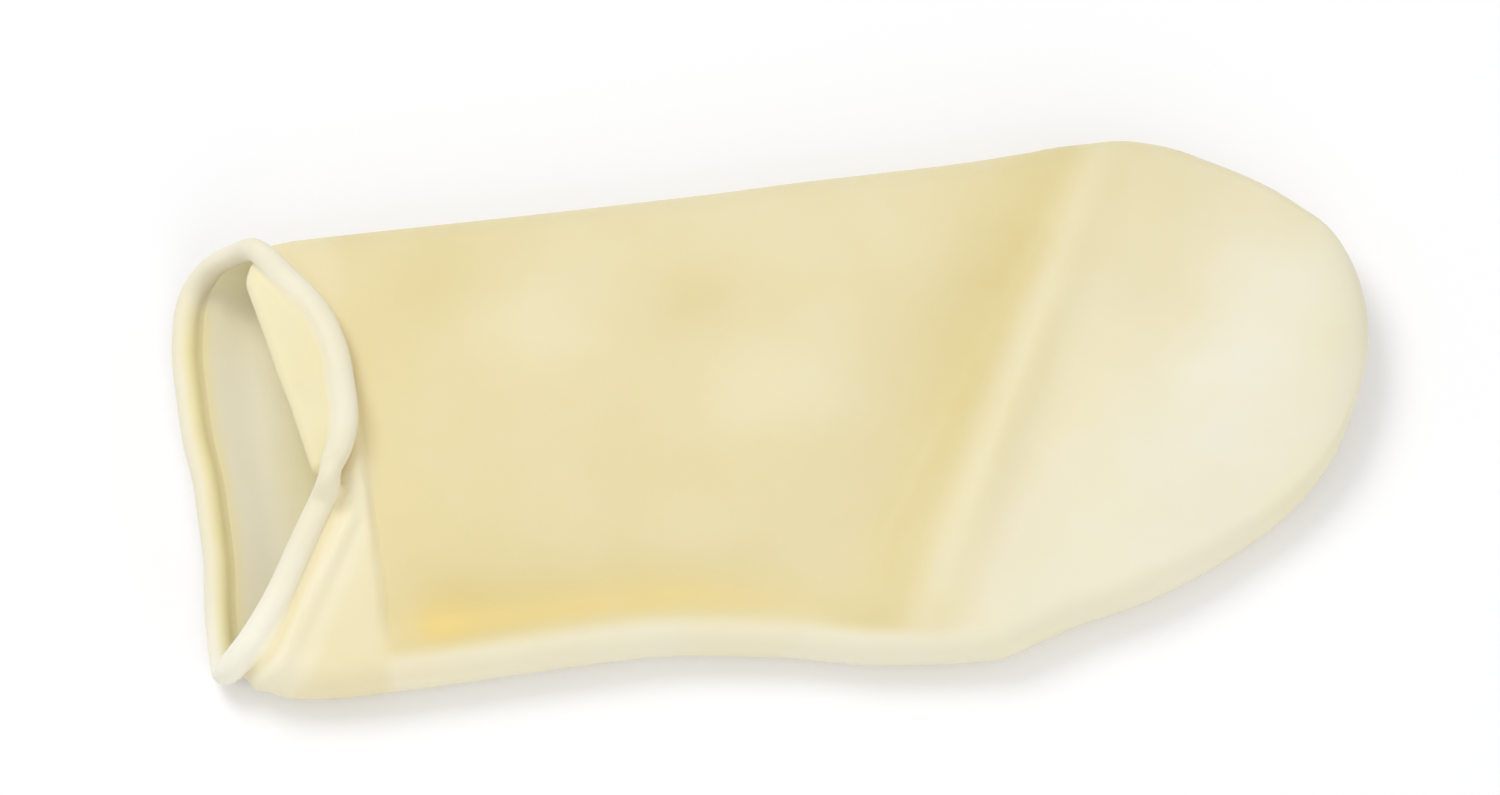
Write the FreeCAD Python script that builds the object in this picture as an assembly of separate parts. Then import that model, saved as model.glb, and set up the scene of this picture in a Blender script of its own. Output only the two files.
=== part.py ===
import FreeCAD, Part
import math
import os

# Finger cot: one dipped rubber film, closed at the tip, with a rolled bead round the mouth.
# It lies on its flat side. X runs from the mouth to the tip, Y to the far side, Z up. Sizes in mm.

# Film and rolled bead
WALL = 0.16
BEAD_RADIUS = 0.72
BEAD_STEPS = 8

# Height of the film's middle where it lies on the floor
FLOOR = WALL / 2.0

# Tube lying on its side: distance from the mouth, near edge, far edge, near roll and far roll radius
TUBE = [
    (0.0, -11.4, 12.8, 1.8, 2.3),
    (1.5, -11.5, 12.9, 1.8, 2.3),
    (4.5, -13.2, 13.1, 1.8, 2.4),
    (8.0, -13.5, 13.4, 1.8, 2.6),
    (23.0, -13.2, 13.3, 1.8, 2.6),
    (30.0, -14.0, 13.3, 1.8, 2.6),
    (36.0, -15.3, 13.4, 1.8, 2.6),
    (42.0, -15.8, 13.4, 1.8, 2.6),
    (48.0, -14.0, 13.6, 1.8, 2.6),
]
EDGE_BLEND = 7.0
NEAR_ROLL = (0.2, 0.3)
FAR_ROLL = (0.7, 0.8)

# Rounded tip: elliptical in plan, its middle drifting towards the far side
DOME_START = 48.0
DOME_LENGTH = 16.8
DOME_END = DOME_START + DOME_LENGTH
DOME_DRIFT = 2.1
DOME_POWERS = (1.9, 0.52)
DOME_STEPS = 5
DOME_ANGLES = (30.0, 74.0)
TIP_RISE = 2.4
TIP_RISE_SHARE = 0.58
RISE_START = DOME_END - TIP_RISE_SHARE * DOME_LENGTH

# Arch of the top, its puffed end, the ridge and the valley in front of it, both running aslant over the top
ARCH = 1.4
PUFF_HEIGHT = 2.1
RIDGE_X = 47.2
RIDGE_SLOPE = 0.45
RIDGE_HEIGHT = 0.5
RIDGE_WIDTH = 1.6
VALLEY_X = 41.3
VALLEY_SLOPE = 0.8
VALLEY_DEPTH = 1.3
VALLEY_FRONT = 4.6
VALLEY_BACK = 2.8

# Furrow along the near roll
FURROW_DEPTH = 0.35
FURROW_OFFSET = 3.2
FURROW_WIDTH = 1.8

# Mouth, by turn round the rim from the middle of the underside over the near side:
# fraction of the turn, place of the bead, turn-back in half turns, turned-back length
MOUTH = [
    (0.000, 1.35, 0.0, 1.2),
    (0.080, 1.35, 0.0, 1.2),
    (0.150, 1.05, 0.0, 1.2),
    (0.200, 0.95, 0.0, 1.2),
    (0.250, 1.00, 0.0, 1.2),
    (0.275, 1.60, 0.0, 1.2),
    (0.300, 2.45, 0.0, 1.2),
    (0.330, 3.35, 0.0, 1.0),
    (0.370, 4.70, 0.0, 0.8),
    (0.430, 6.75, 0.0, 0.8),
    (0.460, 8.00, 0.5, 0.8),
    (0.490, 8.70, 1.0, 1.5),
    (0.530, 9.05, 1.0, 2.3),
    (0.570, 9.05, 1.0, 2.8),
    (0.610, 8.70, 1.0, 2.9),
    (0.645, 7.85, 1.0, 2.4),
    (0.670, 6.95, 1.0, 1.7),
    (0.690, 6.15, 0.8, 1.0),
    (0.710, 5.15, 0.2, 0.8),
    (0.730, 4.10, 0.0, 0.9),
    (0.750, 3.05, 0.0, 1.0),
    (0.775, 1.95, 0.0, 1.2),
    (0.800, 1.40, 0.0, 1.2),
    (0.860, 1.05, 0.0, 1.2),
    (0.930, 1.05, 0.0, 1.2),
]
FOLD_RADIUS = 0.46
FOLD_ARC = math.pi * FOLD_RADIUS
STRAIGHT_SHARE = 0.4
BEAD_LIFT = BEAD_RADIUS - 0.06
BEAD_LIFT_BLEND = 0.5
BEAD_LIFT_LENGTH = 3.5

# Pleat lying behind the lower half of the rim
PLEAT_X = 9.65
PLEAT_HEIGHT = 0.45
PLEAT_EDGE = 0.5
PLEAT_FAR_Y = 1.0
PLEAT_FAR_FADE = 2.0
PLEAT_NEAR_FADE = 3.0

# Steps of a section's curves on the near roll, the top, the far roll and the underside
LIP_STEPS = (6, 20, 6, 4)
TUBE_STEPS = (6, 20, 6, 2)
DOME_SECTION_STEPS = (6, 20, 6, 4)

# Where the sections stand: in the lip, in the fold and in the collar behind it, as shares of each
LIP_SHARES = (0.0,)
FOLD_STEPS = 3
COLLAR_SHARES = (0.4,)

# Sections of the tube, as shares of the way to the rounded tip and into it, with their slope in plan
TUBE_SHARES = [(0.5, 0.1), (0.729, 0.62), (0.833, 0.80), (0.917, 0.64), (0.979, 0.46)]
TIP_SHARES = [(0.12, 0.28), (0.3214286, 0.1)]
FIRST_RING_X = PLEAT_X - PLEAT_EDGE / 2.0
TUBE_RINGS = [(FIRST_RING_X, 0.0), (PLEAT_X + PLEAT_EDGE / 2.0, 0.0)]
TUBE_RINGS += [(DOME_START * share, slope) for share, slope in TUBE_SHARES]
TUBE_RINGS += [(DOME_START + DOME_LENGTH * share, slope) for share, slope in TIP_SHARES]
SLANT_ROUNDS = 5

# Steps between the points from which directions on the film are taken
STEP_ALONG = 0.02
STEP_ROUND = 0.004
RIM_STEP_ALONG = 0.03
RIM_STEP_ROUND = 0.003
RIM_DISTANCE = 0.05

# Least turned-back length, and distance from the bead's centre at which the film leaves the bead
LEAST_LENGTH = BEAD_RADIUS * 1.05
BEAD_EXIT = BEAD_RADIUS * 1.02

# The rim closes on itself, so its table is carried on past both ends
RIM = [(row[0] - 1.0,) + row[1:] for row in MOUTH[-3:]] + MOUTH
RIM += [(row[0] + 1.0,) + row[1:] for row in MOUTH[:3]]


def smooth(t):
    t = min(max(t, 0.0), 1.0)
    return t * t * (3.0 - 2.0 * t)


def bell(d, width):
    return math.exp(-(d / width) ** 2)


def through(table, x, column):
    """Value of one column at x, on a smooth curve through the rows of a table."""
    rows = [(row[0], row[column]) for row in table]
    if x <= rows[0][0]:
        return rows[0][1]
    if x >= rows[-1][0]:
        return rows[-1][1]
    slopes = [0.0]
    for a, b, c in zip(rows, rows[1:], rows[2:]):
        before = (b[1] - a[1]) / (b[0] - a[0])
        after = (c[1] - b[1]) / (c[0] - b[0])
        slopes.append(2.0 * before * after / (before + after) if before * after > 0.0 else 0.0)
    slopes.append(0.0)
    i = max(k for k in range(len(rows) - 1) if rows[k][0] <= x)
    span = rows[i + 1][0] - rows[i][0]
    t = (x - rows[i][0]) / span
    h = t * t * (3.0 - 2.0 * t)
    start = (t - 2.0 * t * t + t ** 3) * span * slopes[i]
    end = (t ** 3 - t * t) * span * slopes[i + 1]
    return rows[i][1] * (1.0 - h) + rows[i + 1][1] * h + start + end


def dome_scale(x):
    t = max(x - DOME_START, 0.0) / DOME_LENGTH
    return max(1.0 - t ** DOME_POWERS[0], 0.0) ** DOME_POWERS[1]


def puffed(x, y):
    """0 in front of the valley, 1 from the ridge to the tip."""
    ridge = RIDGE_X + RIDGE_SLOPE * y
    valley = VALLEY_X + VALLEY_SLOPE * y
    return smooth((x - valley) / max(ridge - valley, 1.0))


def crown(x, y):
    """Height of the arched top at the middle of its width."""
    ridge = RIDGE_HEIGHT * bell(x - RIDGE_X - RIDGE_SLOPE * y, RIDGE_WIDTH)
    return dome_scale(x) * (ARCH + (PUFF_HEIGHT - ARCH) * puffed(x, y) + ridge)


def relief(x, y, near, u, span):
    """Height of the pleat, less the valley and the furrow."""
    edge = smooth(u * span / EDGE_BLEND) * smooth((1.0 - u) * span / EDGE_BLEND)
    to_valley = x - VALLEY_X - VALLEY_SLOPE * y
    valley = VALLEY_DEPTH * bell(to_valley, VALLEY_FRONT if to_valley < 0.0 else VALLEY_BACK)
    behind_pleat = smooth((x - PLEAT_X) / PLEAT_EDGE + 0.5)
    furrow = FURROW_DEPTH * behind_pleat * bell(y - near - FURROW_OFFSET, FURROW_WIDTH)
    furrow *= smooth(u * span / FURROW_WIDTH) * (1.0 - puffed(x, y))
    pleat = PLEAT_HEIGHT * (1.0 - behind_pleat)
    pleat *= smooth((PLEAT_FAR_Y - y) / PLEAT_FAR_FADE) * smooth((y - near) / PLEAT_NEAR_FADE - 0.5)
    return edge * (pleat - valley) - furrow


def tube_point(x, v):
    """Point of the film's middle at x, v of a turn round from the middle of the underside."""
    scale = dome_scale(x)
    middle = (through(TUBE, x, 1) + through(TUBE, x, 2)) / 2.0
    half = (through(TUBE, x, 2) - through(TUBE, x, 1)) / 2.0 * scale
    middle += DOME_DRIFT * max(x - DOME_START, 0.0) / DOME_LENGTH
    near = middle - half
    far = middle + half
    roll_near = through(TUBE, x, 3) * scale
    roll_far = through(TUBE, x, 4) * scale
    floor = FLOOR + TIP_RISE * (max(x - RISE_START, 0.0) / (DOME_END - RISE_START)) ** 2
    flat = near + roll_near
    width = far - roll_far - flat
    v = v % 1.0
    if v <= NEAR_ROLL[0]:
        return flat + width * (0.5 - 0.5 * v / NEAR_ROLL[0]), floor
    if v >= FAR_ROLL[1]:
        return flat + width * (1.0 - 0.5 * (v - FAR_ROLL[1]) / (1.0 - FAR_ROLL[1])), floor

    # Each roll ends where it has the slope of the arched top
    lean = 2.0 * (roll_far - roll_near) / width
    tilt_near = math.atan(4.0 * crown(x, near) / width + lean)
    tilt_far = math.atan(4.0 * crown(x, far) / width - lean)
    if v <= NEAR_ROLL[1]:
        a = (math.pi - tilt_near) * (v - NEAR_ROLL[0]) / (NEAR_ROLL[1] - NEAR_ROLL[0])
        return near + roll_near * (1.0 - math.sin(a)), floor + roll_near * (1.0 - math.cos(a))
    if v >= FAR_ROLL[0]:
        a = (math.pi - tilt_far) * (FAR_ROLL[1] - v) / (FAR_ROLL[1] - FAR_ROLL[0])
        return far - roll_far * (1.0 - math.sin(a)), floor + roll_far * (1.0 - math.cos(a))
    u = (v - NEAR_ROLL[1]) / (FAR_ROLL[0] - NEAR_ROLL[1])
    start_y = near + roll_near * (1.0 - math.sin(tilt_near))
    start_z = roll_near * (1.0 + math.cos(tilt_near))
    end_y = far - roll_far * (1.0 - math.sin(tilt_far))
    end_z = roll_far * (1.0 + math.cos(tilt_far))
    y = start_y + (end_y - start_y) * u
    z = floor + start_z + (end_z - start_z) * u + 4.0 * u * (1.0 - u) * crown(x, y)
    return y, z + relief(x, y, near, u, end_y - start_y)


def base(x, v):
    y, z = tube_point(x, v)
    return FreeCAD.Vector(x, y, z)


def base_frame(x, v):
    """Point and outward normal of the plain tube."""
    v = v % 1.0
    if x < RISE_START and not NEAR_ROLL[0] < v < FAR_ROLL[1]:
        return base(x, v), FreeCAD.Vector(0.0, 0.0, -1.0)
    along = base(x + STEP_ALONG, v) - base(x - STEP_ALONG, v)
    around = base(x, v + STEP_ROUND) - base(x, v - STEP_ROUND)
    normal = along.cross(around)
    return base(x, v), normal.normalize()


def rim(v):
    """Place of the bead, angle of turn-back, turned-back length and the fold's arc at this turn."""
    v = v % 1.0
    share = through(RIM, v, 2)
    arc = FOLD_ARC * (STRAIGHT_SHARE + (1.0 - STRAIGHT_SHARE) * share)
    return through(RIM, v, 1), math.pi * share, max(through(RIM, v, 3), LEAST_LENGTH), arc


def bend(turn, arc, stretch, rest):
    """Distance back and height gained over a stretch of the fold's arc and a straight piece after it."""
    if turn < 0.001:
        return stretch + rest, 0.0
    radius = arc / turn
    angle = stretch / radius
    back = radius * math.sin(angle) + rest * math.cos(angle)
    rise = radius * (1.0 - math.cos(angle)) + rest * math.sin(angle)
    return back, rise


def setback(v):
    """Place of the last full section before the fold, so that the bead comes out in its place."""
    place, turn, length, arc = rim(v)
    return place + bend(turn, arc, arc, length)[0]


def film_point(w, v):
    """Middle of the film at distance w from the bead's centre, measured along the film."""
    place, turn, length, arc = rim(v)
    past = length + arc - w
    if past <= 0.0:
        x = setback(v) - past
        rise = 0.0
    else:
        stretch = min(past, arc)
        back, rise = bend(turn, arc, stretch, past - stretch)
        x = setback(v) - back
    point, normal = base_frame(x, v)
    point += normal * rise
    lift = (BEAD_LIFT - point.z + math.hypot(BEAD_LIFT - point.z, BEAD_LIFT_BLEND)) / 2.0
    point.z += lift * smooth(1.0 - w / BEAD_LIFT_LENGTH)
    return point


def film_frame(w, v):
    """Point, outward normal and direction towards the bead, on the film's middle."""
    along = film_point(w - RIM_STEP_ALONG, v) - film_point(w + RIM_STEP_ALONG, v)
    around = film_point(w, v + RIM_STEP_ROUND) - film_point(w, v - RIM_STEP_ROUND)
    normal = around.cross(along)
    return film_point(w, v), normal.normalize(), along.normalize()


def section(point_at, steps):
    """Four curves that close a section, through the points that point_at gives for each turn."""
    marks = (NEAR_ROLL[0], NEAR_ROLL[1], FAR_ROLL[0], FAR_ROLL[1], 1.0 + NEAR_ROLL[0])
    curves = []
    for start, end, count in zip(marks, marks[1:], steps):
        points = [point_at(start + (end - start) * k / count) for k in range(count + 1)]
        curve = Part.BSplineCurve()
        curve.interpolate(Points=points, Parameters=[k / count for k in range(count + 1)])
        curves.append(curve)
    return curves


def skin(sections):
    """Faces between each section and the next."""
    faces = []
    for before, after in zip(sections, sections[1:]):
        for one, other in zip(before, after):
            surface = Part.BSplineSurface()
            poles = [one.getPoles(), other.getPoles()]
            knots = one.getKnots()
            counts = one.getMultiplicities()
            surface.buildFromPolesMultsKnots(poles, [2, 2], counts, [0.0, 1.0], knots, False, False, 1, one.Degree)
            faces.append(surface.toShape())
    return faces


def cap(last):
    """Flat face that closes the last section."""
    return Part.Face(Part.Wire([curve.toShape() for curve in last]))


def lip_distances(v):
    """Distances along the film from the bead's centre to the first full section of the tube."""
    place, turn, length, arc = rim(v)
    full = length + arc + FIRST_RING_X - setback(v)
    found = [BEAD_EXIT + (length - BEAD_EXIT) * share for share in LIP_SHARES]
    found += [length + arc * k / FOLD_STEPS for k in range(FOLD_STEPS + 1)]
    found += [found[-1] + (full - found[-1]) * share for share in COLLAR_SHARES]
    return found


def lip_sections(side):
    """Sections of one face of the film, from the bead to the first full section of the tube."""
    sections = []
    for k in range(len(lip_distances(0.0))):
        def point_at(v):
            point, normal, along = film_frame(lip_distances(v)[k], v)
            return point + normal * (side * WALL / 2.0)
        sections.append(section(point_at, LIP_STEPS))
    sections.append(tube_section(side, FIRST_RING_X, 0.0, LIP_STEPS))
    return sections


def slanted(x, slope, v):
    """Where a section standing at x, turned by slope in plan, meets this turn of the tube."""
    place = x
    for k in range(SLANT_ROUNDS):
        place = x + slope * tube_point(place, v)[0]
    return place


def tube_section(side, x, slope, steps):
    """Section of one face of the film, standing at x and turned by slope in plan."""
    def point_at(v):
        point, normal = base_frame(slanted(x, slope, v), v)
        return point + normal * (side * WALL / 2.0)
    return section(point_at, steps)


def tube_sections(side):
    """Full sections of one face of the film that stand on the floor."""
    return [tube_section(side, x, slope, TUBE_STEPS) for x, slope in TUBE_RINGS]


def dome_sections(side):
    sections = [tube_section(side, TUBE_RINGS[-1][0], TUBE_RINGS[-1][1], DOME_SECTION_STEPS)]
    for k in range(DOME_STEPS):
        angle = math.radians(DOME_ANGLES[0] + (DOME_ANGLES[1] - DOME_ANGLES[0]) * k / DOME_STEPS)
        x = DOME_START + DOME_LENGTH * math.sin(angle)
        sections.append(tube_section(side, x, 0.0, DOME_SECTION_STEPS))

    def last_point(v):
        x = DOME_START + DOME_LENGTH * math.sin(math.radians(DOME_ANGLES[1]))
        point, normal = base_frame(x, v)
        point += normal * (side * WALL / 2.0)
        point.x = x + side * WALL / 2.0
        return point
    sections.append(section(last_point, DOME_SECTION_STEPS))
    return sections


def bead_sections():
    first = math.asin(WALL / 2.0 / BEAD_RADIUS)
    sections = []
    for k in range(1, BEAD_STEPS):
        angle = first + (2.0 * math.pi - 2.0 * first) * k / BEAD_STEPS

        def point_at(v):
            centre, normal, along = film_frame(RIM_DISTANCE, v)
            return centre - along * (BEAD_RADIUS * math.cos(angle)) + normal * (BEAD_RADIUS * math.sin(angle))
        sections.append(section(point_at, LIP_STEPS))
    return sections


def flat_underside(sections):
    """Flat face between the two rolls, past all of these sections."""
    near = [curves[3].EndPoint for curves in sections]
    far = [curves[3].StartPoint for curves in sections]
    corners = near + far[::-1]
    return Part.Face(Part.makePolygon(corners + corners[:1]))


def film_faces(side):
    """Faces of one side of the film from the bead to the tip, and the section that they start from."""
    lip = lip_sections(side)
    tube = tube_sections(side)
    dome = dome_sections(side)
    faces = skin(lip) + skin([curves[:3] for curves in tube]) + [flat_underside(tube)]
    faces += skin(dome) + [cap(dome[-1])]
    return faces, lip[0]


outer_faces, outer_start = film_faces(1)
inner_faces, inner_start = film_faces(-1)
bead_faces = skin([outer_start] + bead_sections() + [inner_start])
shell = Part.makeShell(outer_faces + bead_faces + inner_faces)
shell.sewShape()
body = Part.makeSolid(shell)
if body.Volume < 0.0:
    body.reverse()

# The middle of the object in plan is the origin
os.makedirs("parts", exist_ok=True)
box = body.optimalBoundingBox(False, False)
body.translate(FreeCAD.Vector(-box.Center.x, -box.Center.y, 0.0))
body.exportStep("parts/finger_cot.step")
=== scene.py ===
import math

import bpy
import numpy as np
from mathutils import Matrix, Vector


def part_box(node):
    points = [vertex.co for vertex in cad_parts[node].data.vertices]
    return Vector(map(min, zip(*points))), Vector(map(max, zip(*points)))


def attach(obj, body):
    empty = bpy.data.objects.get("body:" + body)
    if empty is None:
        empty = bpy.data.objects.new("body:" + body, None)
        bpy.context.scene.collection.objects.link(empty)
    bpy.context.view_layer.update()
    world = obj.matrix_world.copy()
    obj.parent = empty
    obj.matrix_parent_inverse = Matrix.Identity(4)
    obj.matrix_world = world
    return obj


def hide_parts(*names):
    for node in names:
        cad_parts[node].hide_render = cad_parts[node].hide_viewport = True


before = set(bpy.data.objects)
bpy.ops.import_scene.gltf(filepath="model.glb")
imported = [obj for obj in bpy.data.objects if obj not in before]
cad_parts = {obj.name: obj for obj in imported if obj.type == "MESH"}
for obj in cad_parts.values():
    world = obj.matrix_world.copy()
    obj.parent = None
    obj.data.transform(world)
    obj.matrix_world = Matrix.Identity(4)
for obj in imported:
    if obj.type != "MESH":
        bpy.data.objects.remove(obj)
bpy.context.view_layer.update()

NODE = "finger_cot"
MM = 0.001

# The film's form is written in millimetres, as in the part's source: X from the mouth to the tip
WALL = 0.16
BEAD_RADIUS = 0.72
BEAD_PRESSED = 0.06
FLOOR = WALL / 2.0

# Tube lying on its side: distance from the mouth, near edge, far edge, near roll and far roll radius
TUBE = np.array([
    (0.0, -11.4, 12.8, 1.8, 2.3),
    (1.5, -11.5, 12.9, 1.8, 2.3),
    (4.5, -13.2, 13.1, 1.8, 2.4),
    (8.0, -13.5, 13.4, 1.8, 2.6),
    (23.0, -13.2, 13.3, 1.8, 2.6),
    (30.0, -14.0, 13.3, 1.8, 2.6),
    (36.0, -15.3, 13.4, 1.8, 2.6),
    (42.0, -15.8, 13.4, 1.8, 2.6),
    (45.0, -14.95, 13.45, 1.8, 2.6),
    (48.0, -14.05, 13.6, 1.8, 2.6),
    (50.8, -13.9, 13.65, 1.8, 2.6),
    (53.4, -13.82, 13.9, 1.8, 2.6),
    (55.6, -13.8, 13.85, 1.8, 2.6),
    (57.8, -14.0, 13.55, 1.8, 2.6),
    (60.0, -14.25, 13.45, 1.8, 2.6),
    (62.0, -14.35, 13.5, 1.8, 2.6),
    (63.8, -14.1, 14.1, 1.8, 2.6),
])
NEAR_ROLL = (0.2, 0.3)
FAR_ROLL = (0.7, 0.8)
EDGE_BLEND = 7.0

# Rounded tip
DOME_START = 48.0
DOME_LENGTH = 16.8
DOME_END = DOME_START + DOME_LENGTH
DOME_DRIFT = 2.1
DOME_POWERS = (1.9, 0.52)
TIP_RISE = 2.4
TIP_RISE_SHARE = 0.58
RISE_START = DOME_END - TIP_RISE_SHARE * DOME_LENGTH

# Puffed end, ridge and valley
ARCH = 1.4
PUFF_HEIGHT = 2.1
PUFF_LEAST_RUN = 1.0
RIDGE_X = 46.2
RIDGE_SLOPE = 0.47
RIDGE_HEIGHT = 0.55
RIDGE_WIDTH = 1.3
VALLEY_X = 42.2
VALLEY_SLOPE = 0.65
VALLEY_DEPTH = 1.3
VALLEY_FRONT = 4.6
VALLEY_BACK = 2.3

# Furrow along the near roll
FURROW_DEPTH = 0.35
FURROW_OFFSET = 3.2
FURROW_WIDTH = 1.8

# Mouth: share of a turn round the rim, place of the bead, turn-back in half turns, turned-back length
MOUTH = np.array([
    (0.000, 1.35, 0.0, 1.2),
    (0.080, 1.35, 0.0, 1.2),
    (0.150, 1.05, 0.0, 1.2),
    (0.200, 0.95, 0.0, 1.2),
    (0.250, 1.00, 0.0, 1.2),
    (0.275, 1.60, 0.0, 1.2),
    (0.300, 2.45, 0.0, 1.2),
    (0.330, 3.35, 0.0, 1.0),
    (0.370, 4.70, 0.0, 0.8),
    (0.442, 7.22, 0.0, 0.8),
    (0.458, 7.88, 0.5, 0.8),
    (0.475, 8.35, 1.0, 1.0),
    (0.490, 8.70, 1.0, 1.5),
    (0.530, 9.05, 1.0, 2.26),
    (0.570, 9.05, 1.0, 2.68),
    (0.610, 8.70, 1.0, 2.73),
    (0.645, 7.85, 1.0, 2.25),
    (0.670, 6.95, 1.0, 1.61),
    (0.690, 6.15, 0.8, 1.0),
    (0.710, 5.15, 0.2, 0.8),
    (0.730, 4.10, 0.0, 0.9),
    (0.750, 3.05, 0.0, 1.0),
    (0.775, 1.95, 0.0, 1.2),
    (0.800, 1.40, 0.0, 1.2),
    (0.860, 1.05, 0.0, 1.2),
    (0.930, 1.05, 0.0, 1.2),
])
# Straight edge of the folded-back part, which sets the turned-back length there: where it begins and ends
# round the rim, its first place and its slope
FOLD_FROM = 0.475
FOLD_TO = 0.69
FOLD_EDGE_X = 7.35
FOLD_EDGE_SLOPE = -10.23
FOLD_RADIUS = 0.46
FOLD_ARC = math.pi * FOLD_RADIUS
STRAIGHT_SHARE = 0.4
LEAST_TURN = 0.001
LEAST_LENGTH = 1.05 * BEAD_RADIUS
BEAD_LIFT = BEAD_RADIUS - BEAD_PRESSED
BEAD_LIFT_BLEND = 0.5
BEAD_LIFT_LENGTH = 3.5

# Pleat and rib behind the lower half of the rim; the rib drifts away from the bead on its way up
PLEAT_X = 9.65
PLEAT_HEIGHT = 0.45
PLEAT_EDGE = 0.5
PLEAT_FAR_Y = 3.0
PLEAT_FAR_FADE = 2.0
PLEAT_NEAR_FADE = 3.0
RIB_HEIGHT = 0.38
RIB_OFFSET = (1.75, 2.05)
RIB_DRIFT = (0.3, 0.12)
RIB_BAND = (0.22, 0.03, 0.445, 0.03)
RIB_WIDTH = 0.5

# Soft swellings and dents of the top: x, y, half length, half width and height
SWELLS = [
    (9.2, -2.6, 0.8, 1.3, 0.35),
    (33.0, -0.5, 4.0, 3.0, 0.22),
    (20.0, 5.5, 4.5, 3.0, 0.18),
    (29.5, 6.0, 4.0, 2.5, -0.2),
    (14.0, 8.0, 3.0, 3.0, -0.12),
    (24.0, -4.0, 6.0, 3.0, -0.12),
    (57.0, -3.5, 4.0, 3.0, 0.2),
    (54.0, 3.0, 3.5, 3.5, -0.18),
    (60.0, 7.5, 3.0, 2.0, -0.12),
]

# Colours of the film, pale where it is thick or stretched and deep where it lies double. The tones between
# them also carry painted shade in dips and creases, and painted light on the ridge, tip, rolls and swellings
PALE = (0.98, 0.90, 0.71)
DEEP = (0.79, 0.67, 0.33)
AMBER = (0.94, 0.72, 0.29)
BEAD_TONE = (0.90, 0.85, 0.69)
BEAD_FOOT_PAINTED_LIGHT = (0.98, 0.915, 0.775)
CUFF_SHADE = (0.93, 0.91, 0.85)
# Inner face colours, paler than the outer ones: painted light standing in for the light that comes through
# the film
INSIDE_PALE_LIT = (1.0, 0.93, 0.75)
INSIDE_DEEP_LIT = (1.0, 0.89, 0.50)

# Slanting lines over the top, along which light and shade are painted (shade at the valley, a highlight at
# the ridge, light over the tip): x where the line crosses the middle, slope and width of its tone
VALLEY_LINE = (43.0, 0.52, 3.2)
RIDGE_LINE = (45.4, 0.5, 1.1)
TIP_LINE = (44.8, 0.5, 4.5)
TIP_CORNER_LINE = (46.0, 0.9, 14.0)

# Bands of a tone: where it starts, over what length it comes, where it ends and over what length it goes
TOP_BAND = (0.285, 0.02, 0.79, 0.02)
FRONT_BAND = (9.0, 1.5, 22.0, 10.0)
FURROW_BAND = (10.5, 3.0, 36.0, 12.0)
CUFF_BAND = (0.44, 0.03, 0.72, 0.03)

# Depth of tone, 0 pale and 1 deep, in each place of the outer face, with painted shade in the valley, furrow
# and groove and painted light on the ridge, tip, swellings and rolls. The collar is the film between the bead
# and the pleat.
# Its groove and its back have their distance from the bead, their width and their depth; the groove's depth
# is painted shade
BODY_DEEP = 0.6
VALLEY_PAINTED_SHADE = 0.26
FRONT_DEEP = 0.14
TIP_PAINTED_LIGHT = 0.2
TIP_CORNER_PAINTED_LIGHT = 0.36
RIDGE_PAINTED_HIGHLIGHT = 0.26
SWELL_PAINTED_LIGHT_AND_SHADE = 0.8
ROLLS_PAINTED_LIGHT = 0.08
COLLAR_DEEP = 0.16
COLLAR_FADE = 1.0
COLLAR_TOP = (0.47, 0.02)
COLLAR_BACK = (3.0, 1.0, 0.2)
GROOVE_PAINTED_SHADE = (1.15, 0.25, 0.3)

# Painted shade along the near furrow, deep and amber: distance from the near edge, then strength and width on
# its near and far side
FURROW_LINE = 2.1
FURROW_PAINTED_SHADE = (0.32, 0.7, 2.8)
FURROW_AMBER_SHADE = (0.45, 0.6, 1.4)
SPOT_X = (12.6, 1.6)
SPOT_OFFSET = (0.4, 1.2)
SPOT_AMBER = 0.5

# Tone of the inner face, and of the bead where it turns in and at its near foot: painted shade under the
# fold, along the rim beside the bead and where the bead turns in, and painted light at its near foot. Pairs
# say where a tone starts or ends, and over what length
UNDER_NEAR = (0.22, 0.02)
UNDER_FAR = (0.78, 0.02)
UNDER_FAR_BEAD = (0.76, 0.07)
INSIDE_BASE = 0.05
UNDER_FOLD_SHADE = 0.5
BACK_X = (3.5, 4.0)
BACK_Y = (-7.0, 5.0)
RIM_LINE = (0.9, 0.5)
RIM_LINE_Y = (-12.0, 4.0)
RIM_LINE_SHADE = 0.5
RIM_LINE_AMBER_SHADE = 0.2
CUFF_DEEP = 0.35
TURNED_PAINTED_SHADE = 0.85
TURNED_FROM = 0.65
TURNED_FADE = 0.25
FOOT_Y = (-6.0, 4.0)

# Mesh: steps round the tube on each stretch, rows along it, and the bead's own rows, form and smoothing
ROLL_STEPS = 44
TOP_STEPS = 140
UNDERSIDE_STEPS = 64
LIP_ROWS = 6
FOLD_ROWS = 10
COLLAR_ROWS = 16
COLLAR_END = 10.5
TUBE_ROW = 0.46
DOME_ROWS = 34
BEAD_STEPS = 20
BEAD_RINGS = 600
BEAD_SMOOTHING = 0.45
BEAD_FLATNESS = 0.82
BEAD_OPENING = 0.55
BEAD_REACH = 1.3
BEAD_REACH_SHARE = 0.97
ROUNDING_LENGTH = 2.5
STEP_ALONG = 0.02
STEP_AROUND = 0.004


def smooth(t):
    t = np.clip(t, 0.0, 1.0)
    return t * t * (3.0 - 2.0 * t)


def bell(d, width):
    return np.exp(-(d / width) ** 2)


def lopsided(d, before, after):
    """Bell with its own width on each side."""
    return bell(d, np.where(d < 0.0, before, after))


def comes(x, start_and_length):
    """0 up to the start, 1 beyond the length after it."""
    start, length = start_and_length
    return smooth((x - start) / length)


def goes(x, end_and_length):
    """1 up to the length before the end, 0 beyond the end."""
    end, length = end_and_length
    return smooth((end - x) / length)


def within(x, band):
    """1 inside the band, 0 outside it."""
    return comes(x, band[:2]) * goes(x, band[2:])


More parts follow.
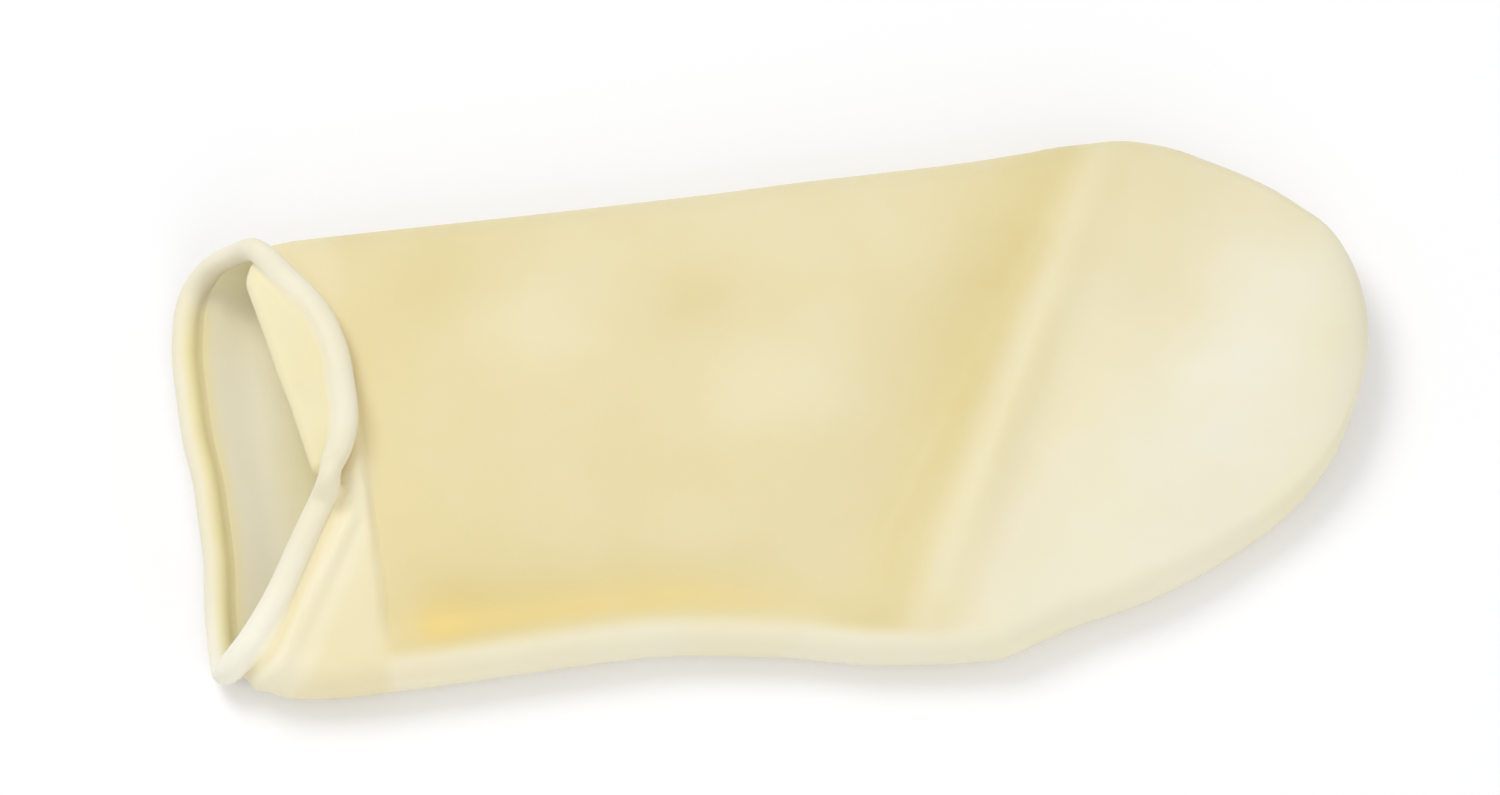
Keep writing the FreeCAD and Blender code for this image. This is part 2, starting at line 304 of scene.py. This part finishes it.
def past_line(x, y, line):
    """Distance past a slanting line over the top, in widths of its tone."""
    crossing, slope, width = line
    return (x - crossing - slope * y) / width


def through(table, x, column):
    """Values of one column at every x, on a smooth curve through the rows of a table."""
    places = table[:, 0]
    values = table[:, column]
    rate = np.diff(values) / np.diff(places)
    same_way = rate[:-1] * rate[1:] > 0.0
    total = np.where(same_way, rate[:-1] + rate[1:], 1.0)
    slopes = np.concatenate([[0.0], np.where(same_way, 2.0 * rate[:-1] * rate[1:] / total, 0.0), [0.0]])
    x = np.clip(x, places[0], places[-1])
    i = np.clip(np.searchsorted(places, x, side="right") - 1, 0, len(places) - 2)
    span = places[i + 1] - places[i]
    t = (x - places[i]) / span
    h = t * t * (3.0 - 2.0 * t)
    start = (t - 2.0 * t ** 2 + t ** 3) * span * slopes[i]
    end = (t ** 3 - t ** 2) * span * slopes[i + 1]
    return values[i] * (1.0 - h) + values[i + 1] * h + start + end


def closed(table):
    """The rim's table, carried on past both ends of its turn."""
    before = table[-3:] - np.array([1.0, 0.0, 0.0, 0.0])
    after = table[:3] + np.array([1.0, 0.0, 0.0, 0.0])
    return np.vstack([before, table, after])


RIM = closed(MOUTH)


def dome_scale(x):
    t = np.clip(x - DOME_START, 0.0, None) / DOME_LENGTH
    return np.clip(1.0 - t ** DOME_POWERS[0], 0.0, None) ** DOME_POWERS[1]


def puffed(x, y):
    """0 in front of the valley, 1 from the ridge to the tip."""
    ridge = RIDGE_X + RIDGE_SLOPE * y
    valley = VALLEY_X + VALLEY_SLOPE * y
    return smooth((x - valley) / np.clip(ridge - valley, PUFF_LEAST_RUN, None))


def crown(x, y):
    """Height of the arched top at the middle of its width."""
    ridge = RIDGE_HEIGHT * bell(x - RIDGE_X - RIDGE_SLOPE * y, RIDGE_WIDTH)
    return dome_scale(x) * (ARCH + (PUFF_HEIGHT - ARCH) * puffed(x, y) + ridge)


def swelling(x, y):
    """Height of the soft swellings and dents."""
    return sum(height * bell(x - place, length) * bell(y - side, width)
               for place, side, length, width, height in SWELLS)


def relief(x, y, near, u, span):
    """Height of the pleat, less the valley and the furrow."""
    edge = smooth(u * span / EDGE_BLEND) * smooth((1.0 - u) * span / EDGE_BLEND)
    to_valley = x - VALLEY_X - VALLEY_SLOPE * y
    valley = VALLEY_DEPTH * lopsided(to_valley, VALLEY_FRONT, VALLEY_BACK)
    behind_pleat = smooth((x - PLEAT_X) / PLEAT_EDGE + 0.5)
    furrow = FURROW_DEPTH * behind_pleat * bell(y - near - FURROW_OFFSET, FURROW_WIDTH)
    furrow = furrow * smooth(u * span / FURROW_WIDTH) * (1.0 - puffed(x, y))
    pleat = PLEAT_HEIGHT * (1.0 - behind_pleat)
    pleat = pleat * smooth((PLEAT_FAR_Y - y) / PLEAT_FAR_FADE) * smooth((y - near) / PLEAT_NEAR_FADE - 0.5)
    return edge * (pleat - valley + swelling(x, y)) - furrow


def tube_point(x, v):
    """Points of the film's middle at x, v of a turn round from the middle of the underside."""
    scale = dome_scale(x)
    middle = (through(TUBE, x, 1) + through(TUBE, x, 2)) / 2.0
    half = (through(TUBE, x, 2) - through(TUBE, x, 1)) / 2.0 * scale
    middle = middle + DOME_DRIFT * np.clip(x - DOME_START, 0.0, None) / DOME_LENGTH
    near = middle - half
    far = middle + half
    roll_near = through(TUBE, x, 3) * scale
    roll_far = through(TUBE, x, 4) * scale
    floor = FLOOR + TIP_RISE * (np.clip(x - RISE_START, 0.0, None) / (DOME_END - RISE_START)) ** 2
    flat = near + roll_near
    width = far - roll_far - flat
    v = np.mod(v, 1.0)

    # Each roll ends where it has the slope of the arched top
    lean = 2.0 * (roll_far - roll_near) / width
    tilt_near = np.arctan(4.0 * crown(x, near) / width + lean)
    tilt_far = np.arctan(4.0 * crown(x, far) / width - lean)
    near_turn = (math.pi - tilt_near) * (v - NEAR_ROLL[0]) / (NEAR_ROLL[1] - NEAR_ROLL[0])
    far_turn = (math.pi - tilt_far) * (FAR_ROLL[1] - v) / (FAR_ROLL[1] - FAR_ROLL[0])
    u = (v - NEAR_ROLL[1]) / (FAR_ROLL[0] - NEAR_ROLL[1])
    start_y = near + roll_near * (1.0 - np.sin(tilt_near))
    start_z = roll_near * (1.0 + np.cos(tilt_near))
    end_y = far - roll_far * (1.0 - np.sin(tilt_far))
    end_z = roll_far * (1.0 + np.cos(tilt_far))
    top_y = start_y + (end_y - start_y) * u
    inside = np.clip(u, 0.0, 1.0)
    top_z = floor + start_z + (end_z - start_z) * u + 4.0 * inside * (1.0 - inside) * crown(x, top_y)
    top_z = top_z + relief(x, top_y, near, inside, end_y - start_y)

    before = 0.5 - 0.5 * v / NEAR_ROLL[0]
    after = 1.0 - 0.5 * (v - FAR_ROLL[1]) / (1.0 - FAR_ROLL[1])
    under = flat + width * np.where(v <= NEAR_ROLL[0], before, after)
    parts = [(v <= NEAR_ROLL[0]) | (v >= FAR_ROLL[1]), v <= NEAR_ROLL[1], v >= FAR_ROLL[0]]
    y = np.select(parts, [under, near + roll_near * (1.0 - np.sin(near_turn)),
                          far - roll_far * (1.0 - np.sin(far_turn))], top_y)
    z = np.select(parts, [floor, floor + roll_near * (1.0 - np.cos(near_turn)),
                          floor + roll_far * (1.0 - np.cos(far_turn))], top_z)
    return np.stack([x + np.zeros_like(y), y, z], axis=-1)


def unit(vectors):
    return vectors / np.clip(np.linalg.norm(vectors, axis=-1, keepdims=True), 1e-12, None)


def tube_frame(x, v):
    """Points of the plain tube and their outward normals."""
    along = tube_point(x + STEP_ALONG, v) - tube_point(x - STEP_ALONG, v)
    around = tube_point(x, v + STEP_AROUND) - tube_point(x, v - STEP_AROUND)
    return tube_point(x, v), unit(np.cross(along, around))


def rim(v):
    """Place of the bead, angle of the fold, turned-back length and length of the fold's arc."""
    v = np.mod(v, 1.0)
    place = through(RIM, v, 1)
    share = through(RIM, v, 2)
    to_edge = place - FOLD_EDGE_X - FOLD_EDGE_SLOPE * (v - FOLD_FROM)
    length = np.where((v > FOLD_FROM) & (v < FOLD_TO), to_edge, through(RIM, v, 3))
    length = np.clip(length, LEAST_LENGTH, None)
    arc = FOLD_ARC * (STRAIGHT_SHARE + (1.0 - STRAIGHT_SHARE) * share)
    return place, math.pi * share, length, arc


def bend(turn, arc, stretch, rest):
    """Distance back and height gained over a stretch of the fold's arc and a straight piece after it."""
    folded = turn > LEAST_TURN
    radius = arc / np.where(folded, turn, 1.0)
    angle = stretch / radius
    back = np.where(folded, radius * np.sin(angle) + rest * np.cos(angle), stretch + rest)
    rise = np.where(folded, radius * (1.0 - np.cos(angle)) + rest * np.sin(angle), 0.0)
    return back, rise


def setback(v):
    """Place of the last full section before the fold, so that the bead comes out in its place."""
    place, turn, length, arc = rim(v)
    return place + bend(turn, arc, arc, length)[0]


def film_point(w, v):
    """Middle of the film at distance w from the bead's centre, measured along the film."""
    turn, length, arc = rim(v)[1:]
    past = length + arc - w
    back, rise = bend(turn, arc, np.clip(past, 0.0, arc), np.clip(past - arc, 0.0, None))
    x = setback(v) - np.where(past <= 0.0, past, back)
    point, normal = tube_frame(x, v)
    point = point + normal * np.where(past <= 0.0, 0.0, rise)[..., None]
    lift = (BEAD_LIFT - point[..., 2] + np.hypot(BEAD_LIFT - point[..., 2], BEAD_LIFT_BLEND)) / 2.0
    point[..., 2] += lift * smooth(1.0 - w / BEAD_LIFT_LENGTH)
    return point


def turns():
    """Turns at which the rows have their points, close together on the two rolls."""
    marks = [(NEAR_ROLL[0], NEAR_ROLL[1], ROLL_STEPS), (NEAR_ROLL[1], FAR_ROLL[0], TOP_STEPS),
             (FAR_ROLL[0], FAR_ROLL[1], ROLL_STEPS), (FAR_ROLL[1], 1.0 + NEAR_ROLL[0], UNDERSIDE_STEPS)]
    return np.concatenate([start + (end - start) * np.arange(count) / count for start, end, count in marks])


def film_rows():
    """Rows of the film's middle from the bead's centre to the tip, with each row's distance from the bead."""
    v = turns()
    length, arc = rim(v)[2:]
    join = np.minimum(BEAD_REACH * BEAD_RADIUS, BEAD_REACH_SHARE * length)
    rows = [film_point(np.zeros_like(v), v)]
    reach = [np.zeros_like(v)]
    for k in range(LIP_ROWS):
        reach.append(join + (length - join) * k / LIP_ROWS)
        rows.append(film_point(reach[-1], v))
    for k in range(FOLD_ROWS):
        reach.append(length + arc * k / FOLD_ROWS)
        rows.append(film_point(reach[-1], v))
    full = length + arc + COLLAR_END - setback(v)
    for k in range(COLLAR_ROWS):
        reach.append(length + arc + (full - length - arc) * k / COLLAR_ROWS)
        rows.append(film_point(reach[-1], v))
    count = int((DOME_START - COLLAR_END) / TUBE_ROW)
    xs = list(COLLAR_END + (DOME_START - COLLAR_END) * np.arange(count) / count)
    angles = np.linspace(0.0, math.pi / 2.0, DOME_ROWS + 1)[:-1]
    xs += list(DOME_START + DOME_LENGTH * np.sin(angles))
    for x in xs:
        rows.append(tube_point(np.full_like(v, x), v))
        reach.append(full + x - COLLAR_END)
    return v, np.array(rows), np.array(reach)


def row_frames(points):
    """Directions away from the rim and out of the film, at every point of the rows."""
    around = np.roll(points, -1, axis=1) - np.roll(points, 1, axis=1)
    along = np.gradient(points, axis=0)
    return unit(along), unit(np.cross(along, around))


def smoothed(run, values):
    """Values round a closed curve, evened out over a short length; run is the distance to each of them."""
    marks = np.linspace(0.0, run[-1], BEAD_RINGS, endpoint=False)
    closing = np.vstack([values, values[:1]])
    even = np.stack([np.interp(marks, run, closing[:, k]) for k in range(3)], axis=-1)
    gap = np.minimum(np.arange(BEAD_RINGS), BEAD_RINGS - np.arange(BEAD_RINGS)) * run[-1] / BEAD_RINGS
    kernel = np.fft.rfft(bell(gap, BEAD_SMOOTHING * math.sqrt(2.0)))
    even = np.fft.irfft(np.fft.rfft(even, axis=0) * (kernel / kernel[0])[:, None], BEAD_RINGS, axis=0)
    closing = np.vstack([even, even[:1]])
    ends = np.append(marks, run[-1])
    return np.stack([np.interp(run[:-1], ends, closing[:, k]) for k in range(3)], axis=-1)


def bead_ring(centre, towards):
    """Rows of points round the bead, from the film's outer face to its inner face."""
    tangent = unit(np.roll(centre, -1, axis=0) - np.roll(centre, 1, axis=0))
    outward = unit(towards - tangent * (towards * tangent).sum(axis=-1, keepdims=True))
    up = np.cross(tangent, outward)
    angles = BEAD_OPENING + (2.0 * math.pi - 2.0 * BEAD_OPENING) * np.arange(BEAD_STEPS + 1) / BEAD_STEPS
    height = BEAD_RADIUS * BEAD_FLATNESS
    rows = np.array([centre - outward * (BEAD_RADIUS * math.cos(a)) + up * (height * math.sin(a))
                     for a in angles])
    rows[..., 2] = np.clip(rows[..., 2], 0.0, None)
    return rows


def quads(index):
    """Faces between neighbouring rows of points, each row closed on itself."""
    a = index[:-1]
    b = index[1:]
    return np.stack([a, np.roll(a, -1, axis=1), np.roll(b, -1, axis=1), b], axis=-1).reshape(-1, 4)


def outer_tone(points, v, reach):
    """How deep the tone of the outer face is at each point, from 0 to 1, and how amber."""
    x = points[..., 0]
    y = points[..., 1]
    top = within(v, TOP_BAND)
    tip = smooth(past_line(x, y, TIP_LINE))
    deep = BODY_DEEP + FRONT_DEEP * within(x, FRONT_BAND)
    # Painted shade along the valley
    deep = deep + VALLEY_PAINTED_SHADE * bell(past_line(x, y, VALLEY_LINE), 1.0)
    # Painted light over the tip, stronger at its near corner
    deep = deep - tip * (TIP_PAINTED_LIGHT + TIP_CORNER_PAINTED_LIGHT * smooth(past_line(x, y, TIP_CORNER_LINE)))
    # Painted highlight along the ridge, painted light on the swellings and painted shade in the dents
    deep = deep - RIDGE_PAINTED_HIGHLIGHT * bell(past_line(x, y, RIDGE_LINE), 1.0) - SWELL_PAINTED_LIGHT_AND_SHADE * swelling(x, y)

    edge = y - through(TUBE, x, 1) - FURROW_LINE
    band = within(x, FURROW_BAND)
    spot = bell(x - SPOT_X[0], SPOT_X[1]) * bell(edge - SPOT_OFFSET[0], SPOT_OFFSET[1])
    # Painted shade along the near furrow, deep and amber, with an amber spot on it
    deep = deep + FURROW_PAINTED_SHADE[0] * lopsided(edge, *FURROW_PAINTED_SHADE[1:]) * band
    amber = FURROW_AMBER_SHADE[0] * lopsided(edge, *FURROW_AMBER_SHADE[1:]) * band + SPOT_AMBER * spot
    # Off the top the rolls and underside are painted pale: painted light
    deep = deep * top + (1.0 - top) * ROLLS_PAINTED_LIGHT

    collar = goes(x, (PLEAT_X + COLLAR_FADE / 2.0, COLLAR_FADE)) * goes(v, COLLAR_TOP)
    # Painted shade in the groove between the bead and the rib
    collar_deep = COLLAR_DEEP + GROOVE_PAINTED_SHADE[2] * bell(reach - GROOVE_PAINTED_SHADE[0], GROOVE_PAINTED_SHADE[1])
    collar_deep = collar_deep + COLLAR_BACK[2] * comes(reach, COLLAR_BACK[:2])
    deep = deep * (1.0 - collar) + collar_deep * collar
    amber = amber * top * (1.0 - collar)
    return np.clip(deep, 0.0, 1.0), np.clip(amber, 0.0, 1.0)


def inner_tone(points, v, reach):
    """How deep the tone of the inner face is at each point, from 0 to 1, and how amber."""
    x = points[..., 0]
    y = points[..., 1]
    under = goes(v, UNDER_NEAR) + comes(v, UNDER_FAR)
    # Painted shade: a deep amber line along the rim beside the bead
    rim_line = bell(reach - RIM_LINE[0], RIM_LINE[1]) * under * comes(y, RIM_LINE_Y)
    # Painted shade under the fold over the underside, deeper away from the mouth
    deep = INSIDE_BASE + UNDER_FOLD_SHADE * comes(x, BACK_X) * comes(y, BACK_Y) * under
    deep = deep + RIM_LINE_SHADE * rim_line + CUFF_DEEP * within(v, CUFF_BAND)
    return np.clip(deep, 0.0, 1.0), RIM_LINE_AMBER_SHADE * rim_line


def colours(deep, amber, light, dark):
    """Film colour for each tone."""
    base = np.array(light) + (np.array(dark) - light) * deep[..., None]
    return base + (np.array(AMBER) - base) * amber[..., None]


def bead_colours(bead, v):
    """Bead colours: pale at its near foot as painted light, and deep where it turns in over the underside as
    painted shade.
    """
    # Painted shade on the side of the bead that turns in over the underside
    turned = smooth((np.linspace(0.0, 1.0, len(bead)) - TURNED_FROM) / TURNED_FADE)
    under = goes(v, UNDER_NEAR) + comes(v, UNDER_FAR_BEAD)
    # Painted light at the bead's near foot
    foot = goes(bead[..., 1], FOOT_Y)[..., None]
    paint = np.array(BEAD_TONE) + (np.array(BEAD_FOOT_PAINTED_LIGHT) - BEAD_TONE) * foot
    return paint + (np.array(INSIDE_DEEP_LIT) - paint) * (TURNED_PAINTED_SHADE * turned[:, None] * under)[..., None]


def film_mesh():
    """Points, faces and colours of the film with its bead."""
    v, points, reach = film_rows()
    centre = points[0]
    closing = np.vstack([centre, centre[:1]])
    run = np.concatenate([[0.0], np.cumsum(np.linalg.norm(np.diff(closing, axis=0), axis=1))])
    along, normal = row_frames(points)
    rounded = smoothed(run, centre)
    towards = unit(smoothed(run, -along[0]))
    points = points + (rounded - centre) * smooth(1.0 - reach / ROUNDING_LENGTH)[..., None]

    # Rib along the lower half of the rim
    offset = RIB_OFFSET[0] + (RIB_OFFSET[1] - RIB_OFFSET[0]) * comes(v, RIB_DRIFT)
    rib = RIB_HEIGHT * bell(reach - offset, RIB_WIDTH) * within(v, RIB_BAND)
    points = points + normal * rib[..., None]
    normal = row_frames(points)[1]

    outer = points + normal * (WALL / 2.0)
    inner = points - normal * (WALL / 2.0)
    bead = bead_ring(rounded, towards)
    grid = np.concatenate([outer[:0:-1], bead, inner[1:]])
    outer_paint = colours(*outer_tone(points, v, reach), PALE, DEEP)
    cuff = within(v, CUFF_BAND)[:, None]
    inner_paint = colours(*inner_tone(points, v, reach), INSIDE_PALE_LIT, INSIDE_DEEP_LIT)
    inner_paint = inner_paint * (1.0 - (1.0 - np.array(CUFF_SHADE)) * cuff)
    verts = grid.reshape(-1, 3)
    paint = np.concatenate([outer_paint[:0:-1], bead_colours(bead, v), inner_paint[1:]]).reshape(-1, 3)
    index = np.arange(len(verts)).reshape(grid.shape[:2])
    faces = [tuple(f) for f in quads(index)]
    for row, outward in ((index[0], True), (index[-1], False)):
        tip = len(verts)
        verts = np.vstack([verts, verts[row].mean(axis=0)])
        paint = np.vstack([paint, paint[row].mean(axis=0)])
        for p, q in zip(row, np.roll(row, -1)):
            faces.append((q, p, tip) if outward else (p, q, tip))
    return verts, faces, paint


def placed(verts):
    """The same points in metres in the part's frame, where the solid lies."""
    low, high = [np.array(corner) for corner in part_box(NODE)]
    middle = (verts.min(axis=0) + verts.max(axis=0)) / 2.0 * MM
    shift = np.array([(low[0] + high[0]) / 2.0 - middle[0], (low[1] + high[1]) / 2.0 - middle[1], 0.0])
    return verts * MM + shift, shift


def latex_material():
    """Soft satin rubber in the tones of the film, slightly mottled."""
    mat = bpy.data.materials.new("latex_film")
    mat.use_nodes = True
    nodes = mat.node_tree.nodes
    links = mat.node_tree.links
    bsdf = nodes["Principled BSDF"]
    tone = nodes.new("ShaderNodeVertexColor")
    tone.layer_name = "tone"
    coords = nodes.new("ShaderNodeTexCoord")
    mottle = nodes.new("ShaderNodeTexNoise")
    mottle.inputs["Scale"].default_value = 130.0
    mottle.inputs["Detail"].default_value = 3.0
    ramp = nodes.new("ShaderNodeValToRGB")
    ramp.color_ramp.elements[0].position = 0.35
    ramp.color_ramp.elements[0].color = (0.975, 0.965, 0.90, 1.0)
    ramp.color_ramp.elements[1].position = 0.65
    ramp.color_ramp.elements[1].color = (1.0, 1.0, 1.0, 1.0)
    mix = nodes.new("ShaderNodeMix")
    mix.data_type = "RGBA"
    mix.blend_type = "MULTIPLY"
    mix.inputs["Factor"].default_value = 1.0
    links.new(coords.outputs["Object"], mottle.inputs["Vector"])
    links.new(mottle.outputs["Fac"], ramp.inputs["Fac"])
    links.new(tone.outputs["Color"], mix.inputs["A"])
    links.new(ramp.outputs["Color"], mix.inputs["B"])
    links.new(mix.outputs["Result"], bsdf.inputs["Base Color"])
    bsdf.inputs["Roughness"].default_value = 0.55
    bsdf.inputs["Specular IOR Level"].default_value = 0.3
    bsdf.inputs["Subsurface Weight"].default_value = 0.5
    bsdf.inputs["Subsurface Radius"].default_value = (1.0, 1.0, 0.9)
    bsdf.inputs["Subsurface Scale"].default_value = 0.00025
    return mat


def white_for_camera(name, colour, glow):
    """Plain diffuse material that looks a little brighter to the camera and in reflections."""
    mat = bpy.data.materials.new(name)
    mat.use_nodes = True
    nodes = mat.node_tree.nodes
    links = mat.node_tree.links
    nodes.clear()
    out = nodes.new("ShaderNodeOutputMaterial")
    diffuse = nodes.new("ShaderNodeBsdfDiffuse")
    diffuse.inputs["Color"].default_value = (*colour, 1.0)
    emission = nodes.new("ShaderNodeEmission")
    emission.inputs["Color"].default_value = (1.0, 1.0, 1.0, 1.0)
    path = nodes.new("ShaderNodeLightPath")
    seen = nodes.new("ShaderNodeMath")
    seen.operation = "MAXIMUM"
    seen_too = nodes.new("ShaderNodeMath")
    seen_too.operation = "MAXIMUM"
    level = nodes.new("ShaderNodeMath")
    level.operation = "MULTIPLY"
    level.inputs[1].default_value = glow
    add = nodes.new("ShaderNodeAddShader")
    links.new(path.outputs["Is Camera Ray"], seen.inputs[0])
    links.new(path.outputs["Is Glossy Ray"], seen.inputs[1])
    links.new(seen.outputs[0], seen_too.inputs[0])
    links.new(path.outputs["Is Transmission Ray"], seen_too.inputs[1])
    links.new(seen_too.outputs[0], level.inputs[0])
    links.new(level.outputs[0], emission.inputs["Strength"])
    links.new(diffuse.outputs[0], add.inputs[0])
    links.new(emission.outputs[0], add.inputs[1])
    links.new(add.outputs[0], out.inputs["Surface"])
    return mat


def area_light(name, place, size, level):
    """Soft lamp over the origin that gives this level of light on a surface facing it there."""
    data = bpy.data.lights.new(name, "AREA")
    data.shape = "DISK"
    data.size = size
    obj = bpy.data.objects.new(name, data)
    bpy.context.scene.collection.objects.link(obj)
    obj.location = place
    away = Vector(place)
    obj.rotation_euler = away.to_track_quat("Z", "Y").to_euler()
    data.energy = level * math.pi ** 2 * away.length ** 2


verts, faces, paint = film_mesh()
verts, shift = placed(verts)
mesh = bpy.data.meshes.new("film")
mesh.from_pydata(verts.tolist(), [], faces)
tone = mesh.color_attributes.new("tone", "FLOAT_COLOR", "POINT")
tone.data.foreach_set("color", np.hstack([paint, np.ones((len(paint), 1))]).ravel())
mesh.validate()
mesh.polygons.foreach_set("use_smooth", [True] * len(mesh.polygons))
film = bpy.data.objects.new("film", mesh)
bpy.context.scene.collection.objects.link(film)
mesh.materials.append(latex_material())
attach(film, "root")
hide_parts(NODE)

# Floor
FLOOR_SIZE = 3.0
FLOOR_COLOUR = (0.83, 0.832, 0.84)
FLOOR_GLOW = 0.17
bpy.ops.mesh.primitive_plane_add(size=FLOOR_SIZE, location=(0.0, 0.0, 0.0))
floor = bpy.context.object
floor.name = "floor"
floor.data.materials.append(white_for_camera("floor_white", FLOOR_COLOUR, FLOOR_GLOW))

# Camera: long lens from the photograph's direction, aimed at the point in the middle of its frame
AZIMUTH = math.radians(-7.5)
ELEVATION = math.radians(62.0)
DISTANCE = 1.0
PIXELS_PER_MM = 18.5
IMAGE_WIDTH = 1500
SENSOR_WIDTH = 36.0
AIM = (31.01, 0.892, 3.0)
ground = math.cos(ELEVATION)
back = Vector((math.sin(AZIMUTH) * ground, -math.cos(AZIMUTH) * ground, math.sin(ELEVATION)))
target = Vector(AIM) * MM + Vector(shift)
cam_data = bpy.data.cameras.new("camera")
cam = bpy.data.objects.new("camera", cam_data)
bpy.context.scene.collection.objects.link(cam)
cam.location = target + back * DISTANCE
cam.rotation_euler = back.to_track_quat("Z", "Y").to_euler()
cam_data.sensor_width = SENSOR_WIDTH
cam_data.lens = SENSOR_WIDTH * DISTANCE / (IMAGE_WIDTH / PIXELS_PER_MM * MM)
bpy.context.scene.camera = cam

# Light: pale surroundings, a broad lamp above and behind to the left, and a weak one in front
WORLD_LEVEL = 0.6
world = bpy.data.worlds.new("world")
bpy.context.scene.world = world
world.use_nodes = True
world.node_tree.nodes["Background"].inputs["Color"].default_value = (1.0, 1.0, 1.0, 1.0)
world.node_tree.nodes["Background"].inputs["Strength"].default_value = WORLD_LEVEL
area_light("key", place=(-0.33, 0.36, 0.72), size=0.5, level=0.385)
area_light("fill", place=(0.2, -0.7, 0.45), size=0.8, level=0.26)

bpy.context.scene.view_settings.view_transform = "Standard"
